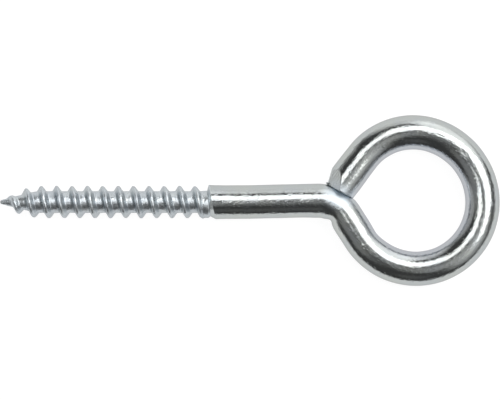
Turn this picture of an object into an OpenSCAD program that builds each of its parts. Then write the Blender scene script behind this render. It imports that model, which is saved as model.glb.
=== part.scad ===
// Screw eye: one round steel rod with a gimlet point and a rolled wood-screw thread at one end,
// and at the other end a neck bend that leads into a round, butted eye.
// The eye lies in the XY plane with its centre at the origin. The shank lies on the X axis, with
// its point towards -X. The solids below are the named sections of that one rod, in order from
// the point to the cut end, and each meets the next face to face.

/* [Rod] */
// Diameter of the plain rod
rod_d = 8; // [6:0.5:9]

/* [Screw] */
// Distance from the eye's centre to the tip of the point
tip_x = 98.5; // [85:0.5:120]
// Distance from the eye's centre to the shoulder where the thread ends
shoulder_x = 48.5; // [40:0.5:60]
// Diameter over the thread's crests
thread_d = 7.8; // [6.4:0.1:8]
// Diameter of the thread's core
core_d = 5.4; // [4:0.1:6]
// Pitch of the single-start right-hand thread
pitch = 3.65; // [3:0.05:4.5]
// Distance from the eye's centre to a place where the crest is on the +Y side
crest_x = 70.35; // [68:0.05:72]
// Length of the tapering point
point_len = 9.5; // [7:0.5:12]
// Diameter of the blunt tip
tip_d = 1.1; // [0.6:0.1:2]

/* [Neck] */
// Distance from the eye's centre to the start of the neck bend
neck_x = 23; // [22.5:0.1:24]
// Bend radius of the neck, at the rod's centreline
neck_r = 7.75; // [7:0.05:8.5]
// Angle of the neck bend
neck_angle = 56.8; // [55:0.1:58]
// Length of the straight leg between the neck bend and the eye
neck_leg_len = 6.65; // [5:0.05:8]

/* [Eye] */
// Centreline radius of the eye's lower side
lower_r = 15.8; // [15:0.1:16.5]
// Angle that the lower side sweeps
lower_angle = 162.4; // [158:0.2:166]
// Centreline radius of the eye's upper side
upper_r = 17; // [16:0.1:18]
// Angle that the upper side sweeps
upper_angle = 59.8; // [56:0.2:64]
// Centreline radius where the eye closes on the neck
closing_r = 15.2; // [14:0.1:16.5]
// Angle that the closing side sweeps
closing_angle = 64.5; // [61:0.5:68]

/* [Cut end] */
// Gap between the end face and the neck
end_gap = 0.1; // [0.05:0.05:1]
// Direction from the neck bend's centre to the place where the end face meets the neck
end_face_dir = 60.4; // [56:0.2:64]
// Length of the bevel on the end's outer side
bevel_len = 2.6; // [1:0.1:4]
// Depth of the bevel on the end's outer side
bevel_depth = 0.9; // [0.2:0.1:1.5]

/* [Hidden] */
$fn = 96;

rod_r = rod_d / 2;
core_r = core_d / 2;
thread_h = (thread_d - core_d) / 2;
plated = [0.79, 0.81, 0.83];
rolled = [0.69, 0.72, 0.76];

// The thread's skin has this many points round it, and this many rings to a turn.
skin_points = 20;
skin_rings = 16;
// Shares of the pitch that the ridge covers at its base and at its crest
ridge_base = 0.66;
ridge_crest = 0.18;
// The ridge rises out of the point between these two distances from the tip.
ridge_start = 1.3;
ridge_full = 4.3;
// The core swells over this length before the shoulder, to this radius.
runout_len = 0.9;
runout_r = (core_r + thread_d / 2) / 2;
// Length of the cone that leads from the core up to the plain shank
shoulder_len = 0.8;
// Side of the blocks that cut the end, larger than anything they have to cut
block = 60;

function clamp(v) = min(1, max(0, v));
function smooth(v) = let (t = clamp(v)) t * t * (3 - 2 * t);
function mix(a, b, t) = a + (b - a) * t;

// Core radius at a distance t from the tip
function core_at(t) =
    let (left = tip_x - shoulder_x - t)
    t < point_len ? mix(tip_d / 2, core_r, t / point_len)
                  : mix(runout_r, core_r, smooth(left / runout_len));

// Height of the ridge at a distance t from the tip, kept under the crest diameter
function ridge_at(t) =
    min(thread_h, thread_d / 2 - core_at(t)) * smooth((t - ridge_start) / (ridge_full - ridge_start));

// Share of the ridge's height at an angle a from the middle of its crest, from -180 to 180
function ridge_shape(a) = smooth((ridge_base - abs(a) / 180) / (ridge_base - ridge_crest));

// Angle of the crest round the X axis, from +Y towards +Z, at a distance t from the tip
function crest_angle(t) = 360 * (t - tip_x + crest_x) / pitch;

// One ring of the skin: its points turn with the thread, so that its edges follow the ridge.
function skin_ring(t) = [
    for (i = [0 : skin_points - 1])
        let (a = 360 * i / skin_points - 180, r = core_at(t) + ridge_at(t) * ridge_shape(a))
        [t - tip_x, r * cos(a + crest_angle(t)), r * sin(a + crest_angle(t))]
];

// Threaded solid between two distances from the tip
module threaded(t0, t1) {
    steps = ceil((t1 - t0) / pitch * skin_rings);
    points = [for (k = [0 : steps]) each skin_ring(mix(t0, t1, k / steps))];
    sides = [
        for (k = [0 : steps - 1], i = [0 : skin_points - 1])
            let (j = (i + 1) % skin_points, a = k * skin_points, b = a + skin_points)
            each [[a + i, b + i, b + j], [a + i, b + j, a + j]]
    ];
    start_face = [for (i = [0 : skin_points - 1]) i];
    end_face = [for (i = [0 : skin_points - 1]) (steps + 1) * skin_points - 1 - i];
    polyhedron(points, concat(sides, [start_face, end_face]));
}

// The rod's centreline is a route of straights and bends. A stop on it is [x, y, heading].
function ahead(s, len) = [s.x + len * cos(s.z), s.y + len * sin(s.z), s.z];
function left(s, r, a) =
    [s.x + r * (sin(s.z + a) - sin(s.z)), s.y - r * (cos(s.z + a) - cos(s.z)), s.z + a];
function right(s, r, a) =
    [s.x - r * (sin(s.z - a) - sin(s.z)), s.y + r * (cos(s.z - a) - cos(s.z)), s.z - a];

neck_start = [-neck_x, 0, 0];
neck_end = right(neck_start, neck_r, neck_angle);
lower_start = ahead(neck_end, neck_leg_len);
upper_start = left(lower_start, lower_r, lower_angle);
closing_start = left(upper_start, upper_r, upper_angle);
end_start = left(closing_start, closing_r, closing_angle);

// The end face touches a circle round the neck bend's centre, just off the neck's skin.
neck_centre = [-neck_x, -neck_r];
face_normal = [cos(end_face_dir), sin(end_face_dir)];
face_point = neck_centre + (neck_r + rod_r + end_gap) * face_normal;
end_way = [cos(end_start.z), sin(end_start.z)];
end_len = (([end_start.x, end_start.y] - face_point) * face_normal) / -(end_way * face_normal);

// The outer side of the end meets its face here, and the bevel starts bevel_len before it.
face_slant = end_face_dir + 180 - end_start.z;
outer_len = end_len + rod_r * tan(face_slant);
bevel_angle = atan(bevel_depth / bevel_len);

module at(s) {
    translate([s.x, s.y, 0]) rotate(s.z) children();
}

module straight(s, len) {
    at(s) rotate([0, 90, 0]) cylinder(d = rod_d, h = len);
}

module bend(s, r, a, side) {
    at(s) translate([0, side * r, 0]) rotate(side > 0 ? -90 : 90 - a)
        rotate_extrude(angle = a) translate([r, 0]) circle(d = rod_d);
}

// Everything ahead of the stop s, square to its heading
module ahead_of(s) {
    at(s) translate([0, -block / 2, -block / 2]) cube(block);
}

module screw_point() {
    color(rolled) threaded(0, point_len);
}

module wood_thread() {
    color(rolled) threaded(point_len, tip_x - shoulder_x);
}

module plain_shank() {
    color(plated) {
        translate([-shoulder_x, 0, 0]) rotate([0, 90, 0])
            cylinder(r1 = runout_r, r2 = rod_r, h = shoulder_len);
        straight([shoulder_len - shoulder_x, 0, 0], shoulder_x - shoulder_len - neck_x);
    }
}

module neck_bend() {
    color(plated) bend(neck_start, neck_r, neck_angle, -1);
}

module neck_leg() {
    color(plated) straight(neck_end, neck_leg_len);
}

module eye_lower() {
    color(plated) bend(lower_start, lower_r, lower_angle, 1);
}

module eye_upper() {
    color(plated) bend(upper_start, upper_r, upper_angle, 1);
}

module eye_closing() {
    color(plated) bend(closing_start, closing_r, closing_angle, 1);
}

module eye_end() {
    face = [face_point.x, face_point.y, end_face_dir + 180];
    bevel_base = ahead(end_start, outer_len - bevel_len);
    bevel_at = ahead([bevel_base.x, bevel_base.y, end_start.z - 90], rod_r);
    color(plated) difference() {
        straight(end_start, end_len + rod_d);
        ahead_of(face);
        ahead_of([bevel_at.x, bevel_at.y, end_start.z - 90 + bevel_angle]);
    }
}

screw_point();
wood_thread();
plain_shank();
neck_bend();
neck_leg();
eye_lower();
eye_upper();
eye_closing();
eye_end();
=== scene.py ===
import math

import bpy
import numpy as np
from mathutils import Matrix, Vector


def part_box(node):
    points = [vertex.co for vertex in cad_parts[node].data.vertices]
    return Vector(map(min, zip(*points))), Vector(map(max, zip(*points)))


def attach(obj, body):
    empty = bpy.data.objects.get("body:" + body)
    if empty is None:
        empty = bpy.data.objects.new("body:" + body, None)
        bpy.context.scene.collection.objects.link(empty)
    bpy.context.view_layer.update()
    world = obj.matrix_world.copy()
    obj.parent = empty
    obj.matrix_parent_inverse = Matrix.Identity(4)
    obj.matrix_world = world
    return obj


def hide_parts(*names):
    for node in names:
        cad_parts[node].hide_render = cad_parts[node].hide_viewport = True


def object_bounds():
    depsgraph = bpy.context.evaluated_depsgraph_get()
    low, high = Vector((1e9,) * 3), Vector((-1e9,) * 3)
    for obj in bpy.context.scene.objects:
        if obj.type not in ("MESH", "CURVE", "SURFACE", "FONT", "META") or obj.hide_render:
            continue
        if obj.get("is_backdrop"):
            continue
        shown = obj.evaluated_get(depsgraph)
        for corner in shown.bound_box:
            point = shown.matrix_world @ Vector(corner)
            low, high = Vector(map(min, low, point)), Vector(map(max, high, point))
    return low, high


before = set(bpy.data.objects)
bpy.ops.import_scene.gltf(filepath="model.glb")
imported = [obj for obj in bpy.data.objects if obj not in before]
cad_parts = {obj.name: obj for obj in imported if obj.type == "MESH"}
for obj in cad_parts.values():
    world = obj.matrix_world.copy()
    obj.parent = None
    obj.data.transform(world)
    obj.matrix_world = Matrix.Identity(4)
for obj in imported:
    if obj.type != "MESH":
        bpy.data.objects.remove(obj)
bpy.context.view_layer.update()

# A screw eye: one round rod with a rolled thread, a neck and a closed eye. Each piece is a stretch
# of one skin, so that neighbours meet without a seam.

# --- The rod's route, in metres and degrees, as the CAD bends it --------------------------------
MM = 0.001
shank_low, shank_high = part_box("plain_shank")
point_low, point_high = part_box("screw_point")
ROD_R = 4.0 * MM
TIP_X = point_low.x
SHOULDER_X = shank_low.x
NECK_X = shank_high.x
POINT_LEN = point_high.x - point_low.x
NECK_R, NECK_ANGLE = 7.75 * MM, 56.8
LEG_LEN = 6.65 * MM
LOWER_R, LOWER_ANGLE = 15.8 * MM, 162.4
UPPER_R, UPPER_ANGLE = 17.0 * MM, 59.8
CLOSING_R, CLOSING_ANGLE = 15.2 * MM, 64.5
END_FACE_DIR = 60.4
# The route runs on this far past the eye, which is further than the cut end does.
END_ROUTE_LEN = 12 * MM

# The rod is not quite straight. It dips to the -Y side at this place, and from there it leans to the
# +Y side by these slopes, both ways. The cut end leans into the eye.
BOW_X, BOW_DIP = -40 * MM, -0.09 * MM
THREAD_LEAN, SHANK_LEAN, SHANK_LEAN_LEN = 0.007, 0.017, 13 * MM
END_LEAN = 0.042
# Bending swells the rod a little. The swell starts this far before the neck, and has this length.
EYE_SWELL, EYE_SWELL_LEAD, EYE_SWELL_LEN = 0.09 * MM, 6 * MM, 12 * MM
END_SWELL, END_SWELL_LEN = 0.10 * MM, 8 * MM
# Bending also folds the skin on the inner side of the neck, over this angle round the rod.
FOLD_WIDTH = 0.9
FOLD_OUT, FOLD_OUT_AT, FOLD_OUT_LEN = 0.06 * MM, -0.5 * MM, 1.5 * MM
FOLD_IN, FOLD_IN_AT, FOLD_IN_LEN = 0.60 * MM, 5.9 * MM, 1.9 * MM
# It thins the rod a little on the inner side of the eye, where the eye starts.
THIN, THIN_AT, THIN_LEN = 0.22 * MM, 1.5 * MM, 3.0 * MM

# Marks on the eye: distance from the tip, angle round the rod, half length, half width and depth
MARKS = {
    "dent": (143.0 * MM, 92, 1.1 * MM, 0.5 * MM, 0.10 * MM),
    "scratch_near_dent": (144.6 * MM, 102, 0.9 * MM, 0.16 * MM, 0.03 * MM),
    "scratch_on_top": (149.9 * MM, 96, 1.0 * MM, 0.16 * MM, 0.03 * MM),
    "rub": (106.7 * MM, 98, 2.6 * MM, 0.28 * MM, 0.020 * MM),
}

# --- The thread ---------------------------------------------------------------------------------
PITCH = 3.65 * MM
CREST_X = -70.42 * MM
CREST_R = 3.87 * MM
CORE_R = 2.59 * MM
TIP_R = 0.42 * MM
TIP_ROUND = 0.35 * MM
CONE_LEN = 8.6 * MM
CONE_BLEND, RIDGE_BLEND = 0.2 * MM, 0.1 * MM
# The ridge and the collar are lowered by what blending them adds.
RIDGE_DROP = 0.025 * MM
RIDGE_START, RIDGE_FULL = 1.2 * MM, 4.4 * MM
# Half of the ridge's flat crest, and where its flank ends, on its tip side and its eye side
TIP_LAND, TIP_FLANK = 0.10 * MM, 1.16 * MM
EYE_LAND, EYE_FLANK = 0.06 * MM, 1.36 * MM
# Before the shoulder the core swells, the ridge dies away, and a collar stands out on the -Y side.
RUNOUT_LEN, RUNOUT_R = 3.0 * MM, 2.75 * MM
FADE_END, FADE_LEN = 0.4 * MM, 1.4 * MM
COLLAR_START, COLLAR_FULL, COLLAR_END = 3.2 * MM, 2.4 * MM, 0.5 * MM
COLLAR_R, COLLAR_FALL = 3.84 * MM, 0.9
# The shoulder's edge is skewed: it is nearer the tip on the +Y side, and steeper there.
EDGE_MID, EDGE_SKEW = 0.43 * MM, 0.83 * MM
EDGE_RISE, EDGE_RUN, EDGE_RUN_SKEW = 0.8 * MM, 0.87 * MM, 0.65 * MM
EDGE_SWELL, EDGE_SWELL_LEN = 0.09 * MM, 2.2 * MM
EDGE_BLEND = 0.08 * MM

# --- Mesh density -------------------------------------------------------------------------------
COLUMNS = 128
ROWS_PER_TURN = 36
BEND_STEP = 0.22 * MM
SHANK_STEP = 0.3 * MM
# The rows are fine from this far before the shoulder to this far after it.
FINE_STEP, FINE_BEFORE, FINE_AFTER = 0.04 * MM, 1.0 * MM, 1.8 * MM
NOSE_ROWS, NOSE_START = 9, 0.12
END_ROWS, EDGE_ROWS, FACE_ROWS = 60, 9, 16
# On the end's face the grain is drawn in towards the middle, but not below this share of the radius.
FACE_GRAIN_MIN = 0.05
# Steps for finding a surface's slope: in metres along the rod, and in the units of end_surface's v
NUDGE, END_NUDGE = 1e-6, 1e-4


def smooth(v):
    """A soft step from 0 to 1 while v goes from 0 to 1."""
    t = np.clip(v, 0.0, 1.0)
    return t * t * (3 - 2 * t)


def soft_max(a, b, width):
    """The larger of two values, rounded off where they come within a width of each other."""
    h = np.clip(0.5 + (a - b) / (2 * width), 0.0, 1.0)
    return b + (a - b) * h + width * h * (1 - h)


def soft_min(a, b, width):
    return -soft_max(-a, -b, width)


class Ripple:
    """A smooth random field over the rod, as a sum of waves along it and round it."""

    def __init__(self, seed, waves, longest, shortest, most_round):
        rng = np.random.default_rng(seed)
        self.k = 2 * np.pi / np.exp(rng.uniform(np.log(shortest), np.log(longest), waves))
        self.m = rng.integers(0, most_round + 1, waves)
        self.phase = rng.uniform(0, 2 * np.pi, waves)
        self.weight = rng.normal(0, 1, waves) / math.sqrt(waves)

    def __call__(self, s, phi):
        out = 0.0
        for k, m, phase, weight in zip(self.k, self.m, self.phase, self.weight):
            out = out + weight * np.sin(k * s + m * phi + phase)
        return out


# The unevenness of the drawn rod, the rolled thread, its crest and the bent eye
DRAWN = Ripple(seed=11, waves=22, longest=30 * MM, shortest=6 * MM, most_round=3)
ROLLED = Ripple(seed=23, waves=30, longest=14 * MM, shortest=1.2 * MM, most_round=4)
CREST = Ripple(seed=37, waves=14, longest=9 * MM, shortest=2 * MM, most_round=0)
FORMED = Ripple(seed=53, waves=30, longest=24 * MM, shortest=5 * MM, most_round=4)
# How deep each one is, and the length over which it fades in. The crest's depth is a share of the
# ridge's height, and the bent eye's unevenness starts this far before the neck.
DRAWN_DEPTH, DRAWN_LEN = 0.012 * MM, 4 * MM
ROLLED_DEPTH, ROLLED_LEN = 0.018 * MM, 2 * MM
CREST_DEPTH = 0.035
FORMED_DEPTH, FORMED_LEAD, FORMED_LEN = 0.006 * MM, 4 * MM, 12 * MM


# --- The centreline: place and heading at a distance s from the tip, along the rod ---------------
class Route:
    """Straights and bends in the XY plane, end to end. Each leg is a name, a radius and an amount,
    which is the length of a straight, whose radius is 0, or the degrees that a bend turns left.
    """

    def __init__(self, x, legs):
        self.legs = []
        place, angle, s = np.array([x, 0.0]), 0.0, 0.0
        for name, radius, amount in legs:
            turn = math.radians(amount) if radius else 0.0
            length = abs(turn) * radius if radius else amount
            self.legs.append((name, s, length, place, angle, turn))
            place, angle = self.along(self.legs[-1], length)
            s += length

    @staticmethod
    def along(leg, d):
        """Place and heading at a distance d into a leg."""
        _, _, length, place, angle, turn = leg
        d = np.asarray(d, float)
        if turn == 0.0:
            way = np.array([math.cos(angle), math.sin(angle)])
            return place + d[..., None] * way, angle + 0 * d
        bend = length / turn
        a = angle + d / bend
        step = np.stack([np.sin(a) - math.sin(angle), math.cos(angle) - np.cos(a)], -1)
        return place + bend * step, a

    def span(self, name):
        """Where a leg starts and ends, as distances from the tip."""
        leg = next(leg for leg in self.legs if leg[0] == name)
        return leg[1], leg[1] + leg[2]

    def at(self, s):
        """Place and heading at each distance from the tip."""
        s = np.asarray(s, float)
        place, heading = np.zeros(s.shape + (2,)), np.zeros(s.shape)
        for leg in self.legs:
            inside = s >= leg[1] if leg[1] > 0 else np.ones(s.shape, bool)
            p, a = self.along(leg, s - leg[1])
            place[inside], heading[inside] = p[inside], a[inside]
        return place, heading


route = Route(TIP_X, [
    ("shank", 0.0, NECK_X - TIP_X),
    ("neck_bend", NECK_R, -NECK_ANGLE),
    ("neck_leg", 0.0, LEG_LEN),
    ("eye_lower", LOWER_R, LOWER_ANGLE),
    ("eye_upper", UPPER_R, UPPER_ANGLE),
    ("eye_closing", CLOSING_R, CLOSING_ANGLE),
    ("eye_end", 0.0, END_ROUTE_LEN),
])
SHOULDER_S = SHOULDER_X - TIP_X
NECK_S = NECK_X - TIP_X
LEG_END_S = route.span("neck_leg")[1]
END_S = route.span("eye_end")[0]


def bow(s):
    """How far the rod bows to the +Y side of its route. The bow fades out through the neck."""
    x = s + TIP_X
    out = BOW_DIP + THREAD_LEAN * np.maximum(0, BOW_X - x)
    out = out + SHANK_LEAN * np.clip(x - BOW_X, 0, SHANK_LEAN_LEN)
    out = out * (1 - smooth((s - NECK_S) / (LEG_END_S - NECK_S)))
    return out + END_LEAN * np.maximum(0, s - END_S)


# --- The skin's radius ---------------------------------------------------------------------------
# It depends on a distance s along the rod and an angle phi round it, in radians. phi is 0 on the
# left of the route, which is the +Y side of the shank and the inner side of the eye, and it grows
# towards the +Z side.
def core_radius(s):
    """The thread's core: a cone with a round nose, a cylinder, and a swell before the shoulder."""
    core = soft_min(TIP_R + (CORE_R - TIP_R) * s / CONE_LEN, CORE_R + 0 * s, CONE_BLEND)
    nose = np.clip(s / TIP_ROUND, 0, 1)
    core = core * np.sqrt(nose * (2 - nose))
    return core + (RUNOUT_R - CORE_R) * smooth(1 - (SHOULDER_S - s) / RUNOUT_LEN)


def ridge_height(s, phi):
    """The ridge, by how far away its nearest crest is on each side."""
    crest_s = CREST_X - TIP_X + PITCH * phi / (2 * np.pi)
    behind = (s - crest_s) % PITCH
    ahead = PITCH - behind
    ridge = 0.0
    for crest, gap, land, flank in ((s + ahead, ahead, TIP_LAND, TIP_FLANK),
                                    (s - behind, behind, EYE_LAND, EYE_FLANK)):
        shape = smooth((flank - gap) / (flank - land))
        shape = shape * smooth((crest - RIDGE_START) / (RIDGE_FULL - RIDGE_START))
        shape = shape * smooth((SHOULDER_S - crest - FADE_END) / FADE_LEN)
        ridge = np.maximum(ridge, shape)
    return ridge * (CREST_R - CORE_R) * (1 + CREST_DEPTH * CREST(s, 0 * phi))


def collar_height(s, phi):
    """The collar of pushed-up metal before the shoulder, highest on the -Y side."""
    left = SHOULDER_S - s
    collar = (COLLAR_R - RUNOUT_R) * smooth((COLLAR_START - left) / (COLLAR_START - COLLAR_FULL))
    collar = collar - COLLAR_FALL * np.maximum(COLLAR_END - left, 0)
    return collar * (1 - np.cos(phi)) / 2


def thread_radius(s, phi):
    """The rolled right-hand thread, with its gimlet point and its collar at the shoulder."""
    raised = soft_max(ridge_height(s, phi), collar_height(s, phi), RIDGE_BLEND) - RIDGE_DROP
    return core_radius(s) + raised + ROLLED_DEPTH * ROLLED(s, phi) * smooth(s / ROLLED_LEN)


def fold(s, phi):
    """The inner side of the neck: the skin is pushed out before the bend, then pinched in it."""
    past = s - NECK_S
    out = FOLD_OUT * np.exp(-((past - FOLD_OUT_AT) / FOLD_OUT_LEN) ** 2)
    out = out - FOLD_IN * np.exp(-((past - FOLD_IN_AT) / FOLD_IN_LEN) ** 2)
    aside = np.arccos(np.clip(-np.cos(phi), -1, 1))
    return out * np.exp(-(aside / FOLD_WIDTH) ** 2)


def thinned(s, phi):
    """How much thinner the rod is on the inner side of the eye, where the eye starts."""
    aside = np.arccos(np.clip(np.cos(phi), -1, 1))
    return THIN * np.exp(-((s - LEG_END_S - THIN_AT) / THIN_LEN) ** 2 - aside ** 2)


def marks(s, phi):
    """Small dents and scratches, each a smooth hollow at a place along the rod and round it."""
    out = 0.0
    for at, turned, length, width, depth in MARKS.values():
        aside = (phi - math.radians(turned) + np.pi) % (2 * np.pi) - np.pi
        out = out + depth * np.exp(-((s - at) / length) ** 2 - (aside * ROD_R / width) ** 2)
    return out


def rod_radius(s, phi):
    """The plain rod, with the shoulder where the thread stops."""
    edge = SHOULDER_S + EDGE_MID - EDGE_SKEW * np.cos(phi)
    slope = EDGE_RISE / (EDGE_RUN - EDGE_RUN_SKEW * np.cos(phi))
    past = s - edge
    swell = EDGE_SWELL * np.exp(-np.maximum(past, 0) / EDGE_SWELL_LEN)
    swell = swell + EYE_SWELL * smooth((s - NECK_S + EYE_SWELL_LEAD) / EYE_SWELL_LEN)
    swell = swell + END_SWELL * smooth((s - END_S) / END_SWELL_LEN)
    drawn = DRAWN_DEPTH * DRAWN(s, phi) * smooth(past / DRAWN_LEN)
    formed = FORMED_DEPTH * FORMED(s, phi) * smooth((s - NECK_S + FORMED_LEAD) / FORMED_LEN)
    r = ROD_R + swell + drawn + formed + fold(s, phi) - thinned(s, phi) - marks(s, phi)
    return r - slope * np.maximum(-past, 0)


# --- The cut end ---------------------------------------------------------------------------------
# Its flats are given by how they face forward, outward and up, and by how far out they would stand
# where the end starts. Its face is pressed a little way into the neck.
END_START, END_HEADING = (v[()] for v in route.at(END_S))
FACE_DIR = math.radians(END_FACE_DIR)
FACE_SLANT = FACE_DIR + math.pi - END_HEADING
PRESSED = 0.37 * MM
FACE_GAP = 0.05 * MM
neck_centre = np.array([NECK_X, -NECK_R])
face_normal = np.array([math.cos(FACE_DIR), math.sin(FACE_DIR)])
face_point = neck_centre + (NECK_R + ROD_R - PRESSED) * face_normal
end_way = np.array([math.cos(END_HEADING), math.sin(END_HEADING)])
END_LEN = float((END_START - face_point) @ face_normal / -(end_way @ face_normal))
BEVEL, BEVEL_REACH = (0.40, 1.0, 0.0), 7.0 * MM
FACET, FACET_REACH = (0.35, 0.62, 0.70), 6.2 * MM
FLATS_BLEND, CUT_BLEND, PRESS_BLEND = 0.25 * MM, 0.06 * MM, 0.05 * MM
FACE_ROUND, FACE_HOLE_R = 0.2 * MM, 0.02 * MM
# A flat cuts only the side that faces it by more than this share. Elsewhere it stands far out.
FACING_MIN, FAR_OUT = 0.05, 99 * ROD_R
# No thread is worked out further past the shoulder than this, and no flats further before the end.
THREAD_REACH, FLATS_REACH = 3 * MM, 2 * MM
# The face's edge is found in passes, since the skin's radius changes along the rod.
EDGE_PASSES = 4
FLAT_MIN_R = 0.3 * MM
BURR_OUT, BURR_PHI, BURR_WIDTH, BURR_LEN = 0.55 * MM, 2.95, 0.30, 0.45 * MM
# The skin is matte from rubbing and poor plating round this point, near where the face meets the neck.
# There a pale colour is painted light, which lifts the shade of the crease between them.
DULL_AND_PAINTED_LIGHT_INSET, DULL_AND_PAINTED_LIGHT_HEIGHT = 1.2 * MM, 2.5 * MM
DULL_AND_PAINTED_LIGHT_AT = np.array([*(face_point - DULL_AND_PAINTED_LIGHT_INSET * face_normal), DULL_AND_PAINTED_LIGHT_HEIGHT])
DULL_AND_PAINTED_LIGHT_NEAR, DULL_AND_PAINTED_LIGHT_FAR = 1.5 * MM, 5.0 * MM


def flat(s, phi, facing, reach):
    """Radius at which a flat cuts the rod's end."""
    forward, outward, up = facing
    toward = up * np.sin(phi) - outward * np.cos(phi)
    room = np.maximum(reach - forward * (s - END_S), FLAT_MIN_R)
    return np.where(toward > FACING_MIN, room / np.maximum(toward, FACING_MIN), FAR_OUT)


def pressed(s, phi):
    """Radius at which the end's face flattens the outer side of the neck."""
    aside = (NECK_S - s) / NECK_R + math.pi / 2 - FACE_DIR
    room = (NECK_R + ROD_R - PRESSED - FACE_GAP) / np.cos(np.clip(aside, -1, 1)) - NECK_R - bow(s)
    return np.where(np.cos(phi) > FACING_MIN, room / np.maximum(np.cos(phi), FACING_MIN), FAR_OUT)


def skin_radius(s, phi):
    """The radius of the whole rod: plain rod, thread, cut end and the flat pressed into the neck."""
    r = rod_radius(s, phi)
    near_thread = s < SHOULDER_S + THREAD_REACH
    if np.any(near_thread):
        r = np.where(near_thread, soft_max(thread_radius(s, phi), r, EDGE_BLEND), r)
    near_end = s > END_S - FLATS_REACH
    if np.any(near_end):
        bevel, facet = flat(s, phi, BEVEL, BEVEL_REACH), flat(s, phi, FACET, FACET_REACH)
        cut = soft_min(bevel, facet, FLATS_BLEND)
        r = np.where(near_end, soft_min(r, cut, CUT_BLEND), r)
    near_neck = (s > NECK_S) & (s < LEG_END_S)
    if np.any(near_neck):
        r = np.where(near_neck, soft_min(r, pressed(s, phi), PRESS_BLEND), r)
    return r


def skin(s, phi):
    """The place of the skin, in the part's frame."""
    s, phi = np.broadcast_arrays(np.asarray(s, float), np.asarray(phi, float))
    return lay(s, phi, skin_radius(s, phi))


def lay(s, phi, r):
    """The place at a radius r from the bowed centreline."""
    place, heading = route.at(s)
    across = r * np.cos(phi) + bow(s)
    return np.stack([
        place[..., 0] - across * np.sin(heading),
        place[..., 1] + across * np.cos(heading),
        r * np.sin(phi),
    ], -1)


def face_s(phi, r):
    """Distance along the rod at which the slanted end face stands."""
    return END_S + END_LEN - np.tan(FACE_SLANT) * r * np.cos(phi)


def end_surface(v, phi):
    """The cut end: v runs to the face's edge from 0 to 1, round it to 2, and over the face to 3."""
    v, phi = np.broadcast_arrays(np.asarray(v, float), np.asarray(phi, float))
    edge_s = face_s(phi, ROD_R)
    for _ in range(EDGE_PASSES):
        edge_r = skin_radius(edge_s, phi)
        edge_s = face_s(phi, edge_r)
    lip = np.exp(-((phi % (2 * np.pi) - BURR_PHI) / BURR_WIDTH) ** 2)
    last_s = edge_s - FACE_ROUND
    s = END_S + (last_s - END_S) * np.clip(v, 0, 1)
    r = skin_radius(s, phi)
    turn = np.clip(v - 1, 0, 1) * np.pi / 2
    r = np.where(v > 1, skin_radius(last_s, phi) - FACE_ROUND * (1 - np.cos(turn)), r)
    r = r + BURR_OUT * lip * smooth((s - last_s) / BURR_LEN + 1) * np.clip(3 - v, 0, 1) ** 2
    s = np.where(v > 1, last_s + FACE_ROUND * np.sin(turn), s)
    over = np.clip(v - 2, 0, 1)
    s = np.where(v > 2, face_s(phi, r * (1 - over)) + (s - face_s(phi, r)), s)
    return lay(s, phi, np.maximum(r * (1 - over), FACE_HOLE_R))


def normals(surface, v, phi, nudge):
    """The surface's own normals, from places a little way along it and round it."""
    along = surface(v + nudge, phi) - surface(v - nudge, phi)
    turn = NUDGE / ROD_R
    around = surface(v, phi + turn) - surface(v, phi - turn)
    n = np.cross(around, along)
    return n / np.linalg.norm(n, axis=-1, keepdims=True)


# --- Meshes -------------------------------------------------------------------------------------
def add_object(name, data):
    obj = bpy.data.objects.new(name, data)
    bpy.context.scene.collection.objects.link(obj)
    return obj


def tube_faces(rows, cols):
    """The quads of a tube's side, and the fans that shut its ends round two points past the rows."""
    row = np.arange(rows - 1)[:, None] * cols
    ring = np.arange(cols)
    after = (ring + 1) % cols
    quads = np.stack([row + ring, row + after, row + cols + after, row + cols + ring], -1)
    first, last, base = rows * cols, rows * cols + 1, (rows - 1) * cols
    start = np.stack([np.full(cols, first), after, ring], -1)
    end = np.stack([np.full(cols, last), base + ring, base + after], -1)
    return quads.reshape(-1, 4), start, end


def with_centres(rows):
    """The points of all the rows, then the middle of the first row and of the last."""
    return np.vstack([rows.reshape(-1, 3), rows[0].mean(0), rows[-1].mean(0)])


def dullness_and_painted_light(verts):
    """How matte the skin is at each point, and how much painted light lifts its shade: 1 near the
    point, and 0 far from it.
    """
    away = np.linalg.norm(verts - DULL_AND_PAINTED_LIGHT_AT, axis=1)
    return 1 - smooth((away - DULL_AND_PAINTED_LIGHT_NEAR) / (DULL_AND_PAINTED_LIGHT_FAR - DULL_AND_PAINTED_LIGHT_NEAR))


def closed_piece(name, places, rest, normal, material):
    """A closed tube from rows of places, with its two ends shut by fans."""
    quads, start, end = tube_faces(*places.shape[:2])
    verts = with_centres(places)
    mesh = bpy.data.meshes.new(name)
    mesh.from_pydata(verts.tolist(), [], quads.tolist() + start.tolist() + end.tolist())
    mesh.update()
    mesh.polygons.foreach_set("use_smooth", np.ones(len(mesh.polygons), bool))
    ways = [normal.reshape(-1, 3)[quads.ravel()]]
    for fan, step in ((start, places[0] - places[1]), (end, places[-1] - places[-2])):
        way = step.mean(0)
        ways.append(np.tile(way / np.linalg.norm(way), (fan.size, 1)))
    mesh.normals_split_custom_set(np.vstack(ways).tolist())
    unbent = mesh.attributes.new("unbent", "FLOAT_VECTOR", "POINT")
    unbent.data.foreach_set("vector", with_centres(rest).ravel())
    # The share of pale painted light, and of matte skin, round where the end meets the neck
    dull_and_painted_light = mesh.attributes.new("dull_and_painted_light", "FLOAT", "POINT")
    dull_and_painted_light.data.foreach_set("value", dullness_and_painted_light(verts))
    mesh.materials.append(material)
    return add_object(name, mesh)


PHI = 2 * np.pi * np.arange(COLUMNS) / COLUMNS


def crest_phi(s):
    """Where the thread's crest stands round the rod. It holds still past the shoulder."""
    return 2 * np.pi * (np.minimum(s, SHOULDER_S) - (CREST_X - TIP_X)) / PITCH


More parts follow.
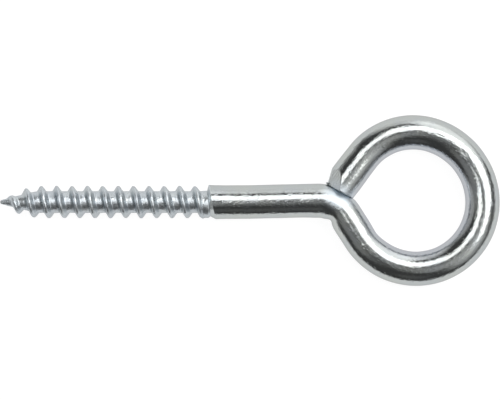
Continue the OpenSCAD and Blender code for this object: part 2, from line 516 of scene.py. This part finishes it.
def unbent(s, phi):
    """The place on a straight rod, which the materials go by."""
    return np.stack(np.broadcast_arrays(s, ROD_R * np.cos(phi), ROD_R * np.sin(phi)), -1)


def rod_piece(name, stops, material):
    """A piece of the rod, with a row of places at each stop. Its columns follow the crest."""
    s = np.asarray(stops)[:, None]
    phi = PHI[None, :] + crest_phi(s)
    return closed_piece(name, skin(s, phi), unbent(s, phi), normals(skin, s, phi, NUDGE), material)


def steps(s0, s1, step):
    """Even stops from s0 to s1, no further apart than a step."""
    return np.linspace(s0, s1, max(2, math.ceil((s1 - s0) / step) + 1))


def screw_point(material):
    nose = TIP_ROUND * (1 - np.cos(np.linspace(NOSE_START, np.pi / 2, NOSE_ROWS)))
    rest = steps(TIP_ROUND, POINT_LEN, PITCH / ROWS_PER_TURN)
    return rod_piece("screw_point_skin", np.concatenate([nose[:-1], rest]), material)


def wood_thread(material):
    fine = SHOULDER_S - FINE_BEFORE
    coarse = steps(POINT_LEN, fine, PITCH / ROWS_PER_TURN)
    stops = np.concatenate([coarse[:-1], steps(fine, SHOULDER_S, FINE_STEP)])
    return rod_piece("wood_thread_skin", stops, material)


def plain_shank(material):
    fine = SHOULDER_S + FINE_AFTER
    coarse = steps(fine, NECK_S, SHANK_STEP)
    stops = np.concatenate([steps(SHOULDER_S, fine, FINE_STEP)[:-1], coarse])
    return rod_piece("plain_shank_skin", stops, material)


def bent(node, material):
    return rod_piece(node + "_skin", steps(*route.span(node), BEND_STEP), material)


def eye_end(material):
    side = np.linspace(0, 1, END_ROWS)
    edge = np.linspace(1, 2, EDGE_ROWS)
    face = np.linspace(2, 3, FACE_ROWS)
    v = np.concatenate([side[:-1], edge[:-1], face[:-1]])[:, None]
    phi = PHI[None, :] + crest_phi(SHOULDER_S)
    places = end_surface(v, phi)
    rest = unbent(END_S + END_LEN * np.clip(v, 0, 1), phi)
    rest[..., 1:] *= np.clip(3 - v, FACE_GRAIN_MIN, 1)[..., None]
    normal = normals(end_surface, v, phi, END_NUDGE)
    return closed_piece("eye_end_skin", places, rest, normal, material)


# --- Materials ----------------------------------------------------------------------------------
EDGE_TINT = (0.75, 0.75, 0.75, 1)
# The plating's film drifts between its first two colours. In places a painted reflection tints it
# bluish, and painted light makes it pale.
BRIGHT_FILM = (0.550, 0.575, 0.557), (0.530, 0.560, 0.566)
# A painted reflection: the bluish tint of what the eye's inner side reflects
BLUISH_PAINTED_REFLECTION = (0.535, 0.555, 0.605)
# Pale painted light, which lifts the shade where the end's face meets the neck
PAINTED_LIGHT_COLOUR = (0.69, 0.76, 0.82)
ROLLED_FILM = (0.600, 0.640, 0.660), (0.560, 0.605, 0.640)
# The bluish tint is a painted reflection on the inner side of the eye. It comes in between these two
# shares of the rod's radius, and over this length past the neck.
PAINTED_REFLECTION_START, PAINTED_REFLECTION_FULL, PAINTED_REFLECTION_LEN = 0.45, 0.95, 12 * MM
# How much of the bluish painted reflection and of the pale painted light shows at most, and what the
# matte patch adds to the roughness
PAINTED_REFLECTION_SHARE, PAINTED_LIGHT_SHARE, DULL_ROUGHNESS = 0.8, 0.8, 0.3
BRIGHT_ROUGHNESS, ROLLED_ROUGHNESS = (0.07, 0.15), (0.24, 0.38)
BRIGHT_METALLIC, ROLLED_METALLIC = 1.0, 0.92
# Spans of the noise that the film, the roughness and the pits use
FILM_SPAN, ROUGH_SPAN, PIT_SPAN = (0.38, 0.62), (0.3, 0.7), (0.53, 0.73)
GRAIN_DEPTH, PIT_DEPTH = 0.028 * MM, 0.013 * MM
ROLLED_GRAIN_DEPTH, ROLLED_LUMP_DEPTH = 0.10 * MM, 0.06 * MM
# How densely the noise runs along the rod, and across it twice: less than 1 draws it out
GRAIN_ALONG, PITS_ALONG, GRAIN_ROUND = (0.35, 1, 1), (0.6, 1, 1), (1, 0.2, 0.2)


def math_node(tree, operation, a, b):
    """A sum, product or maximum of two values, each a socket or a number."""
    node = tree.nodes.new("ShaderNodeMath")
    node.operation = operation
    for socket, value in zip(node.inputs, (a, b)):
        if isinstance(value, float):
            socket.default_value = value
        else:
            tree.links.new(value, socket)
    return node.outputs[0]


class Material:
    """A metal made of nodes, which go by where a point is on the rod before the rod is bent."""

    def __init__(self, name):
        self.mat = bpy.data.materials.new(name)
        self.mat.use_nodes = True
        self.tree = self.mat.node_tree
        self.nodes, self.links = self.tree.nodes, self.tree.links
        self.shader = self.nodes["Principled BSDF"]
        where = self.nodes.new("ShaderNodeAttribute")
        where.attribute_name = "unbent"
        self.where = where.outputs["Vector"]
        apart = self.nodes.new("ShaderNodeSeparateXYZ")
        self.links.new(self.where, apart.inputs["Vector"])
        self.along, self.inner = apart.outputs["X"], apart.outputs["Y"]
        # The share of pale painted light, and of matte skin, at each point
        dull_and_painted_light = self.nodes.new("ShaderNodeAttribute")
        dull_and_painted_light.attribute_name = "dull_and_painted_light"
        self.dull_and_painted_light = dull_and_painted_light.outputs["Fac"]

    def noise(self, scale, detail, density=(1, 1, 1)):
        """Noise with this many waves to a metre, or fewer where its density is less than 1."""
        mapping = self.nodes.new("ShaderNodeMapping")
        mapping.inputs["Scale"].default_value = density
        self.links.new(self.where, mapping.inputs["Vector"])
        tex = self.nodes.new("ShaderNodeTexNoise")
        tex.inputs["Scale"].default_value = scale
        tex.inputs["Detail"].default_value = detail
        self.links.new(mapping.outputs["Vector"], tex.inputs["Vector"])
        return tex.outputs["Fac"]

    def remap(self, value, span, to=(0, 1)):
        """The value taken from one span to another, and held at its ends."""
        node = self.nodes.new("ShaderNodeMapRange")
        node.inputs["From Min"].default_value, node.inputs["From Max"].default_value = span
        node.inputs["To Min"].default_value, node.inputs["To Max"].default_value = to
        self.links.new(value, node.inputs["Value"])
        return node.outputs["Result"]

    def mix(self, factor, a, b):
        node = self.nodes.new("ShaderNodeMix")
        node.data_type = "RGBA"
        self.links.new(factor, node.inputs["Factor"])
        # The colour sockets share their names with this node's other sockets, so they go by number.
        for socket, colour in ((node.inputs[6], a), (node.inputs[7], b)):
            if isinstance(colour, tuple):
                socket.default_value = (*colour, 1)
            else:
                self.links.new(colour, socket)
        return node.outputs[2]

    def bump(self, height, distance, under=None):
        node = self.nodes.new("ShaderNodeBump")
        node.inputs["Strength"].default_value = 1.0
        node.inputs["Distance"].default_value = distance
        self.links.new(height, node.inputs["Height"])
        if under:
            self.links.new(under, node.inputs["Normal"])
        return node.outputs["Normal"]

    def finish(self, metallic, colour, roughness, normal):
        self.shader.inputs["Metallic"].default_value = metallic
        self.shader.inputs["Specular Tint"].default_value = EDGE_TINT
        self.links.new(colour, self.shader.inputs["Base Color"])
        self.links.new(roughness, self.shader.inputs["Roughness"])
        self.links.new(normal, self.shader.inputs["Normal"])
        return self.mat


def bright_zinc():
    """Smooth drawn rod: fine grain along it, with small pits. A bluish painted reflection tints the
    inner side of the eye, and pale painted light lifts the shade where the end meets the neck.
    """
    m = Material("bright_zinc")
    film = m.remap(m.noise(scale=170, detail=2), FILM_SPAN)
    colour = m.mix(film, *BRIGHT_FILM)
    # Painted reflection: the inner side of the eye is tinted bluish
    painted_reflection_in_eye = m.remap(m.along, (NECK_S, NECK_S + PAINTED_REFLECTION_LEN), (0, PAINTED_REFLECTION_SHARE))
    inner = m.remap(m.inner, (PAINTED_REFLECTION_START * ROD_R, PAINTED_REFLECTION_FULL * ROD_R))
    colour = m.mix(math_node(m.tree, "MULTIPLY", inner, painted_reflection_in_eye), colour, BLUISH_PAINTED_REFLECTION)
    # Painted light: a pale colour lifts the shade where the end's face meets the neck
    colour = m.mix(m.remap(m.dull_and_painted_light, (0, 1), (0, PAINTED_LIGHT_SHARE)), colour, PAINTED_LIGHT_COLOUR)
    rough = m.remap(m.noise(scale=1500, detail=3), ROUGH_SPAN, BRIGHT_ROUGHNESS)
    rough = math_node(m.tree, "ADD", rough, m.remap(m.dull_and_painted_light, (0, 1), (0, DULL_ROUGHNESS)))
    grain = m.bump(m.noise(scale=3200, detail=3, density=GRAIN_ALONG), GRAIN_DEPTH)
    pits = m.remap(m.noise(scale=2600, detail=2, density=PITS_ALONG), PIT_SPAN)
    return m.finish(BRIGHT_METALLIC, colour, rough, m.bump(pits, PIT_DEPTH, grain))


def rolled_zinc():
    """Rolled thread: rougher, with grain round it."""
    m = Material("rolled_zinc")
    film = m.remap(m.noise(scale=260, detail=2), FILM_SPAN)
    colour = m.mix(film, *ROLLED_FILM)
    rough = m.remap(m.noise(scale=900, detail=3), ROUGH_SPAN, ROLLED_ROUGHNESS)
    grain = m.bump(m.noise(scale=2600, detail=3, density=GRAIN_ROUND), ROLLED_GRAIN_DEPTH)
    lumps = m.bump(m.noise(scale=1300, detail=2), ROLLED_LUMP_DEPTH, grain)
    return m.finish(ROLLED_METALLIC, colour, rough, lumps)


# --- The pieces, one for each CAD node -----------------------------------------------------------
bright, rolled = bright_zinc(), rolled_zinc()
pieces = {
    "screw_point": screw_point(rolled),
    "wood_thread": wood_thread(rolled),
    "plain_shank": plain_shank(bright),
    "eye_end": eye_end(bright),
}
for node in ("neck_bend", "neck_leg", "eye_lower", "eye_upper", "eye_closing"):
    pieces[node] = bent(node, bright)
for node, piece in pieces.items():
    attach(piece, "root")
    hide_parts(node)


# --- Studio -------------------------------------------------------------------------------------
LIGHT_HEIGHT = 1.0
LIGHT_RADIANCE = 2.0
# Soft boxes overhead, as multiples of their height: lowest and highest x, lowest and highest y
SOFT_BOXES = {
    "key_box": (0.32, 1.60, -0.05, 0.85),
    "left_box": (-0.55, -0.08, -0.10, 0.45),
    "top_box": (-0.30, 0.35, 0.22, 0.90),
}
ROUND_BOX = (0.80, -0.05, 0.75)
# Soft patches of light on the studio's walls and ceiling, in degrees: direction round from +X,
# angle from overhead, radius of the bright middle, radius of the edge, and radiance.
WALL_BASE = 0.06
WALL_PATCHES = {
    "north": (95, 90, 10, 40, 0.8),
    "north_east": (55, 60, 0, 40, 1.3),
    "west": (170, 100, 30, 50, 0.4),
    "east": (345, 65, 30, 40, 0.1),
    "overhead": (345, 30, 0, 35, 0.5),
    "south_east": (320, 55, 0, 25, 0.3),
    "south_west": (200, 40, 10, 30, 0.2),
    "south_high": (270, 15, 0, 20, 0.05),
    "south_low": (270, 60, 5, 15, 0.05),
    "gap": (90, 50, 4, 8, -1.0),
}
# What the floor gives off, towards the camera and towards the rod
FLOOR_SEEN, FLOOR_GLOW = 0.93, 0.79
FLOOR_SIZE, FLOOR_COLOUR = 20, (0.15, 0.15, 0.15, 1)


def floor():
    """A plain floor that the rod lies on. Most of its light is its own."""
    bpy.ops.mesh.primitive_plane_add(size=FLOOR_SIZE, location=(0, 0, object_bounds()[0].z))
    obj = bpy.context.object
    obj.name = "floor"
    mat = bpy.data.materials.new("floor")
    mat.use_nodes = True
    shader = mat.node_tree.nodes["Principled BSDF"]
    shader.inputs["Base Color"].default_value = FLOOR_COLOUR
    shader.inputs["Roughness"].default_value = 1.0
    shader.inputs["Specular IOR Level"].default_value = 0.0
    shader.inputs["Emission Color"].default_value = (1, 1, 1, 1)
    seen = mat.node_tree.nodes.new("ShaderNodeLightPath").outputs["Is Camera Ray"]
    glow = mat.node_tree.nodes.new("ShaderNodeMapRange")
    glow.inputs["To Min"].default_value = FLOOR_GLOW
    glow.inputs["To Max"].default_value = FLOOR_SEEN
    mat.node_tree.links.new(seen, glow.inputs["Value"])
    mat.node_tree.links.new(glow.outputs["Result"], shader.inputs["Emission Strength"])
    obj.data.materials.append(mat)
    obj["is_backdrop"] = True


def soft_box(name, shape, x, y, width, depth):
    """A soft box overhead, which the camera doesn't see."""
    light = bpy.data.lights.new(name, "AREA")
    light.shape = shape
    light.size, light.size_y = width, depth
    area = width * depth * (math.pi / 4 if shape == "DISK" else 1)
    light.energy = LIGHT_RADIANCE * math.pi * area
    obj = add_object(name, light)
    obj.location = (x, y, LIGHT_HEIGHT)
    obj.visible_camera = False


def soft_boxes():
    h = LIGHT_HEIGHT
    for name, (x0, x1, y0, y1) in SOFT_BOXES.items():
        soft_box(name, "RECTANGLE", (x0 + x1) / 2 * h, (y0 + y1) / 2 * h, (x1 - x0) * h, (y1 - y0) * h)
    x, y, across = ROUND_BOX
    soft_box("round_box", "DISK", x * h, y * h, across * h, across * h)


def wall_patch(tree, way, azimuth, tilt, middle, edge, radiance):
    """The light of one soft patch, by the way out to the wall."""
    a, t = math.radians(azimuth), math.radians(tilt)
    dot = tree.nodes.new("ShaderNodeVectorMath")
    dot.operation = "DOT_PRODUCT"
    tree.links.new(way, dot.inputs[0])
    dot.inputs[1].default_value = (math.sin(t) * math.cos(a), math.sin(t) * math.sin(a), math.cos(t))
    node = tree.nodes.new("ShaderNodeMapRange")
    node.interpolation_type = "SMOOTHSTEP"
    node.inputs["From Min"].default_value = math.cos(math.radians(edge))
    node.inputs["From Max"].default_value = math.cos(math.radians(middle))
    node.inputs["To Max"].default_value = radiance
    tree.links.new(dot.outputs["Value"], node.inputs["Value"])
    return node.outputs["Result"]


def walls():
    """The studio's walls light the rod, and the camera sees them as plain white."""
    world = bpy.data.worlds.new("studio")
    bpy.context.scene.world = world
    world.use_nodes = True
    tree = world.node_tree
    way = tree.nodes.new("ShaderNodeTexCoord").outputs["Generated"]
    total = WALL_BASE
    for patch in WALL_PATCHES.values():
        total = math_node(tree, "ADD", wall_patch(tree, way, *patch), total)
    seen = tree.nodes.new("ShaderNodeLightPath").outputs["Is Camera Ray"]
    background = tree.nodes["Background"]
    background.inputs["Color"].default_value = (1, 1, 1, 1)
    tree.links.new(math_node(tree, "MAXIMUM", total, seen), background.inputs["Strength"])


# --- Camera: straight above, with the rod across the view --------------------------------------
CAMERA_HEIGHT = 0.8
SENSOR_WIDTH = 36
VIEW_WIDTH = 118.8 * MM
VIEW_CENTRE = (-39.09 * MM, 0.39 * MM)
VIEW_TILT = -0.4


def camera():
    data = bpy.data.cameras.new("camera")
    data.sensor_width = SENSOR_WIDTH
    data.lens = SENSOR_WIDTH * CAMERA_HEIGHT / VIEW_WIDTH
    obj = add_object("camera", data)
    obj.location = (*VIEW_CENTRE, CAMERA_HEIGHT)
    obj.rotation_euler = (0, 0, math.radians(VIEW_TILT))
    bpy.context.scene.camera = obj


floor()
soft_boxes()
walls()
camera()
bpy.context.scene.view_settings.view_transform = "Standard"
